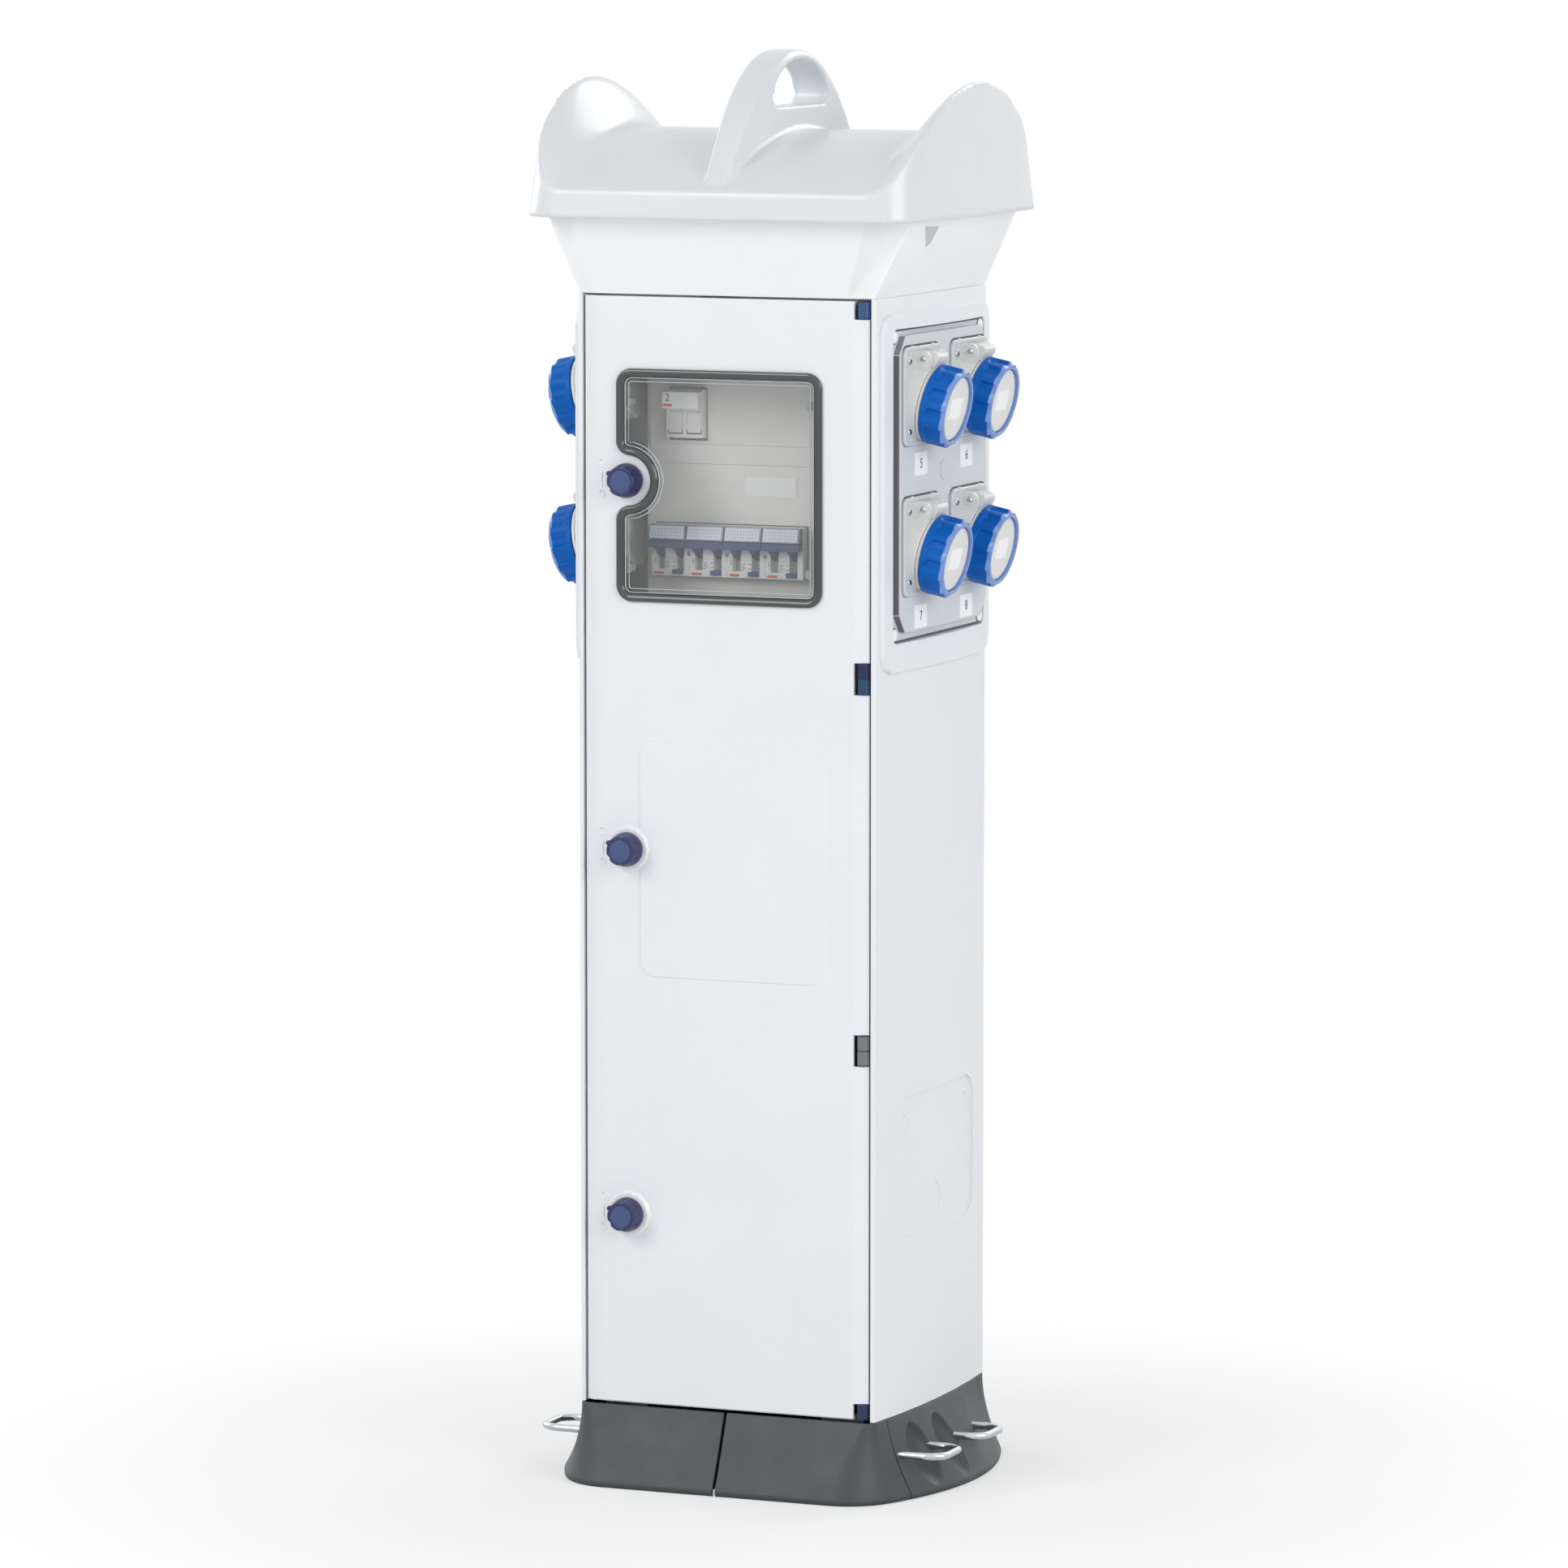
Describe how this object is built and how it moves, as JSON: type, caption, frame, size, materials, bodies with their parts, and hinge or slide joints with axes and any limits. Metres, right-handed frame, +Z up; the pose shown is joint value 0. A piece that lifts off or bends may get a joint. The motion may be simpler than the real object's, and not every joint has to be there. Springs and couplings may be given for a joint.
{
  "type": "campsite power pedestal",
  "caption": "Free-standing service pedestal with eight lidded power sockets, two lockable doors, breakers, a lamp collar and a lifting handle on its cap.",
  "frame": {"origin": "centre of the base, on the ground", "axes": "+Z up, front door faces -Y, right-hand sockets face +X; the column and its doors repeat after half a turn about Z"},
  "size_m": [0.3866, 0.332, 1.25],
  "materials": {
    "body_enamel": "satin",
    "steel": "brushed",
    "chrome": "polished",
    "plinth_plastic": "satin",
    "opal_plastic": "gloss",
    "cap_plastic": "satin",
    "smoke_window": "gloss",
    "gasket_rubber": "matte",
    "navy_plastic": "satin",
    "socket_grey": "satin",
    "socket_white": "satin",
    "contact_black": "satin",
    "ring_blue": "satin",
    "lid_grey": "satin",
    "panel_white": "satin",
    "breaker_white": "satin",
    "lever_blue": "satin",
    "button_grey": "satin",
    "lamp_white": "gloss"
  },
  "bodies": {
    "pedestal": {"foot": "steel", "plinth_covers": "plinth_plastic", "tie_loops": "chrome", "chassis": "steel", "mounting_wall": "steel", "side_panels": "body_enamel", "lamp_diffuser": "opal_plastic", "lamp": "lamp_white", "cap": "cap_plastic", "hinges": "navy_plastic", "socket_plates": "socket_grey", "socket_housings": "socket_white", "socket_inserts": "contact_black", "breaker_panels": "panel_white", "breaker_bodies": "breaker_white"},
    "front_door": {"front_door": "body_enamel", "front_window": "smoke_window", "front_gasket": "gasket_rubber"},
    "rear_door": {"rear_door": "body_enamel", "rear_window": "smoke_window", "rear_gasket": "gasket_rubber"},
    "lock_1": {"lock_1": "navy_plastic"},
    "lock_2": {"lock_2": "navy_plastic"},
    "lock_3": {"lock_3": "navy_plastic"},
    "lock_4": {"lock_4": "navy_plastic"},
    "lock_5": {"lock_5": "navy_plastic"},
    "lock_6": {"lock_6": "navy_plastic"},
    "socket_lid_1": {"socket_lid_1": "lid_grey"},
    "locking_ring_1": {"locking_ring_1": "ring_blue"},
    "socket_lid_2": {"socket_lid_2": "lid_grey"},
    "locking_ring_2": {"locking_ring_2": "ring_blue"},
    "socket_lid_3": {"socket_lid_3": "lid_grey"},
    "locking_ring_3": {"locking_ring_3": "ring_blue"},
    "socket_lid_4": {"socket_lid_4": "lid_grey"},
    "locking_ring_4": {"locking_ring_4": "ring_blue"},
    "socket_lid_5": {"socket_lid_5": "lid_grey"},
    "locking_ring_5": {"locking_ring_5": "ring_blue"},
    "socket_lid_6": {"socket_lid_6": "lid_grey"},
    "locking_ring_6": {"locking_ring_6": "ring_blue"},
    "socket_lid_7": {"socket_lid_7": "lid_grey"},
    "locking_ring_7": {"locking_ring_7": "ring_blue"},
    "socket_lid_8": {"socket_lid_8": "lid_grey"},
    "locking_ring_8": {"locking_ring_8": "ring_blue"},
    "fuse_carrier": {"fuse_carrier": "breaker_white"},
    "breaker_lever_1": {"breaker_lever_1": "lever_blue"},
    "breaker_lever_2": {"breaker_lever_2": "lever_blue"},
    "breaker_lever_3": {"breaker_lever_3": "lever_blue"},
    "breaker_lever_4": {"breaker_lever_4": "lever_blue"},
    "breaker_lever_5": {"breaker_lever_5": "lever_blue"},
    "breaker_lever_6": {"breaker_lever_6": "lever_blue"},
    "breaker_lever_7": {"breaker_lever_7": "lever_blue"},
    "breaker_lever_8": {"breaker_lever_8": "lever_blue"},
    "test_button_1": {"test_button_1": "button_grey"},
    "test_button_2": {"test_button_2": "button_grey"},
    "test_button_3": {"test_button_3": "button_grey"},
    "test_button_4": {"test_button_4": "button_grey"},
    "test_button_5": {"test_button_5": "button_grey"},
    "test_button_6": {"test_button_6": "button_grey"},
    "test_button_7": {"test_button_7": "button_grey"},
    "test_button_8": {"test_button_8": "button_grey"}
  },
  "joints": [
    {"name": "front_door_swing", "type": "hinge", "parent": "pedestal", "child": "front_door", "pos_m": [0.127, -0.127, 0.56], "axis": [0, 0, 1], "range_deg": [0, 100]},
    {"name": "rear_door_swing", "type": "hinge", "parent": "pedestal", "child": "rear_door", "pos_m": [-0.127, 0.127, 0.56], "axis": [0, 0, 1], "range_deg": [0, 100]},
    {"name": "lock_1_turn", "type": "hinge", "parent": "front_door", "child": "lock_1", "pos_m": [-0.091, -0.134, 0.881], "axis": [0, -1, 0], "range_deg": [0, 90]},
    {"name": "lock_2_turn", "type": "hinge", "parent": "front_door", "child": "lock_2", "pos_m": [-0.091, -0.134, 0.5602], "axis": [0, -1, 0], "range_deg": [0, 90]},
    {"name": "lock_3_turn", "type": "hinge", "parent": "front_door", "child": "lock_3", "pos_m": [-0.091, -0.134, 0.2394], "axis": [0, -1, 0], "range_deg": [0, 90]},
    {"name": "lock_4_turn", "type": "hinge", "parent": "rear_door", "child": "lock_4", "pos_m": [0.091, 0.134, 0.881], "axis": [0, 1, 0], "range_deg": [0, 90]},
    {"name": "lock_5_turn", "type": "hinge", "parent": "rear_door", "child": "lock_5", "pos_m": [0.091, 0.134, 0.5602], "axis": [0, 1, 0], "range_deg": [0, 90]},
    {"name": "lock_6_turn", "type": "hinge", "parent": "rear_door", "child": "lock_6", "pos_m": [0.091, 0.134, 0.2394], "axis": [0, 1, 0], "range_deg": [0, 90]},
    {"name": "socket_lid_1_swing", "type": "hinge", "parent": "pedestal", "child": "socket_lid_1", "pos_m": [-0.16, 0.056, 0.9885], "axis": [0, 1, 0], "range_deg": [0, 100]},
    {"name": "socket_lid_2_swing", "type": "hinge", "parent": "pedestal", "child": "socket_lid_2", "pos_m": [-0.16, -0.056, 0.9885], "axis": [0, 1, 0], "range_deg": [0, 100]},
    {"name": "socket_lid_3_swing", "type": "hinge", "parent": "pedestal", "child": "socket_lid_3", "pos_m": [-0.16, 0.056, 0.859], "axis": [0, 1, 0], "range_deg": [0, 100]},
    {"name": "socket_lid_4_swing", "type": "hinge", "parent": "pedestal", "child": "socket_lid_4", "pos_m": [-0.16, -0.056, 0.859], "axis": [0, 1, 0], "range_deg": [0, 100]},
    {"name": "socket_lid_5_swing", "type": "hinge", "parent": "pedestal", "child": "socket_lid_5", "pos_m": [0.16, -0.056, 0.9885], "axis": [0, -1, 0], "range_deg": [0, 100]},
    {"name": "socket_lid_6_swing", "type": "hinge", "parent": "pedestal", "child": "socket_lid_6", "pos_m": [0.16, 0.056, 0.9885], "axis": [0, -1, 0], "range_deg": [0, 100]},
    {"name": "socket_lid_7_swing", "type": "hinge", "parent": "pedestal", "child": "socket_lid_7", "pos_m": [0.16, -0.056, 0.859], "axis": [0, -1, 0], "range_deg": [0, 100]},
    {"name": "socket_lid_8_swing", "type": "hinge", "parent": "pedestal", "child": "socket_lid_8", "pos_m": [0.16, 0.056, 0.859], "axis": [0, -1, 0], "range_deg": [0, 100]},
    {"name": "locking_ring_1_turn", "type": "hinge", "parent": "socket_lid_1", "child": "locking_ring_1", "pos_m": [-0.15, 0.056, 0.952], "axis": [-0.9781, 0, -0.2079], "range_deg": [0, 40]},
    {"name": "locking_ring_2_turn", "type": "hinge", "parent": "socket_lid_2", "child": "locking_ring_2", "pos_m": [-0.15, -0.056, 0.952], "axis": [-0.9781, 0, -0.2079], "range_deg": [0, 40]},
    {"name": "locking_ring_3_turn", "type": "hinge", "parent": "socket_lid_3", "child": "locking_ring_3", "pos_m": [-0.15, 0.056, 0.8225], "axis": [-0.9781, 0, -0.2079], "range_deg": [0, 40]},
    {"name": "locking_ring_4_turn", "type": "hinge", "parent": "socket_lid_4", "child": "locking_ring_4", "pos_m": [-0.15, -0.056, 0.8225], "axis": [-0.9781, 0, -0.2079], "range_deg": [0, 40]},
    {"name": "locking_ring_5_turn", "type": "hinge", "parent": "socket_lid_5", "child": "locking_ring_5", "pos_m": [0.15, -0.056, 0.952], "axis": [0.9781, 0, -0.2079], "range_deg": [0, 40]},
    {"name": "locking_ring_6_turn", "type": "hinge", "parent": "socket_lid_6", "child": "locking_ring_6", "pos_m": [0.15, 0.056, 0.952], "axis": [0.9781, 0, -0.2079], "range_deg": [0, 40]},
    {"name": "locking_ring_7_turn", "type": "hinge", "parent": "socket_lid_7", "child": "locking_ring_7", "pos_m": [0.15, -0.056, 0.8225], "axis": [0.9781, 0, -0.2079], "range_deg": [0, 40]},
    {"name": "locking_ring_8_turn", "type": "hinge", "parent": "socket_lid_8", "child": "locking_ring_8", "pos_m": [0.15, 0.056, 0.8225], "axis": [0.9781, 0, -0.2079], "range_deg": [0, 40]},
    {"name": "fuse_carrier_tilt", "type": "hinge", "parent": "pedestal", "child": "fuse_carrier", "pos_m": [-0.0609, -0.072, 0.9155], "axis": [1, 0, 0], "range_deg": [0, 60]},
    {"name": "breaker_lever_1_throw", "type": "hinge", "parent": "pedestal", "child": "breaker_lever_1", "pos_m": [-0.0742, -0.071, 0.813], "axis": [1, 0, 0], "range_deg": [0, 68]},
    {"name": "breaker_lever_2_throw", "type": "hinge", "parent": "pedestal", "child": "breaker_lever_2", "pos_m": [-0.0386, -0.071, 0.813], "axis": [1, 0, 0], "range_deg": [0, 68]},
    {"name": "breaker_lever_3_throw", "type": "hinge", "parent": "pedestal", "child": "breaker_lever_3", "pos_m": [-0.003, -0.071, 0.813], "axis": [1, 0, 0], "range_deg": [0, 68]},
    {"name": "breaker_lever_4_throw", "type": "hinge", "parent": "pedestal", "child": "breaker_lever_4", "pos_m": [0.0326, -0.071, 0.813], "axis": [1, 0, 0], "range_deg": [0, 68]},
    {"name": "breaker_lever_5_throw", "type": "hinge", "parent": "pedestal", "child": "breaker_lever_5", "pos_m": [0.0742, 0.071, 0.813], "axis": [-1, 0, 0], "range_deg": [0, 68]},
    {"name": "breaker_lever_6_throw", "type": "hinge", "parent": "pedestal", "child": "breaker_lever_6", "pos_m": [0.0386, 0.071, 0.813], "axis": [-1, 0, 0], "range_deg": [0, 68]},
    {"name": "breaker_lever_7_throw", "type": "hinge", "parent": "pedestal", "child": "breaker_lever_7", "pos_m": [0.003, 0.071, 0.813], "axis": [-1, 0, 0], "range_deg": [0, 68]},
    {"name": "breaker_lever_8_throw", "type": "hinge", "parent": "pedestal", "child": "breaker_lever_8", "pos_m": [-0.0326, 0.071, 0.813], "axis": [-1, 0, 0], "range_deg": [0, 68]},
    {"name": "test_button_1_press", "type": "slide", "parent": "pedestal", "child": "test_button_1", "axis": [0, 1, 0], "range_m": [0, 0.0015], "stiffness_N_per_m": 300},
    {"name": "test_button_2_press", "type": "slide", "parent": "pedestal", "child": "test_button_2", "axis": [0, 1, 0], "range_m": [0, 0.0015], "stiffness_N_per_m": 300},
    {"name": "test_button_3_press", "type": "slide", "parent": "pedestal", "child": "test_button_3", "axis": [0, 1, 0], "range_m": [0, 0.0015], "stiffness_N_per_m": 300},
    {"name": "test_button_4_press", "type": "slide", "parent": "pedestal", "child": "test_button_4", "axis": [0, 1, 0], "range_m": [0, 0.0015], "stiffness_N_per_m": 300},
    {"name": "test_button_5_press", "type": "slide", "parent": "pedestal", "child": "test_button_5", "axis": [0, -1, 0], "range_m": [0, 0.0015], "stiffness_N_per_m": 300},
    {"name": "test_button_6_press", "type": "slide", "parent": "pedestal", "child": "test_button_6", "axis": [0, -1, 0], "range_m": [0, 0.0015], "stiffness_N_per_m": 300},
    {"name": "test_button_7_press", "type": "slide", "parent": "pedestal", "child": "test_button_7", "axis": [0, -1, 0], "range_m": [0, 0.0015], "stiffness_N_per_m": 300},
    {"name": "test_button_8_press", "type": "slide", "parent": "pedestal", "child": "test_button_8", "axis": [0, -1, 0], "range_m": [0, 0.0015], "stiffness_N_per_m": 300}
  ]
}
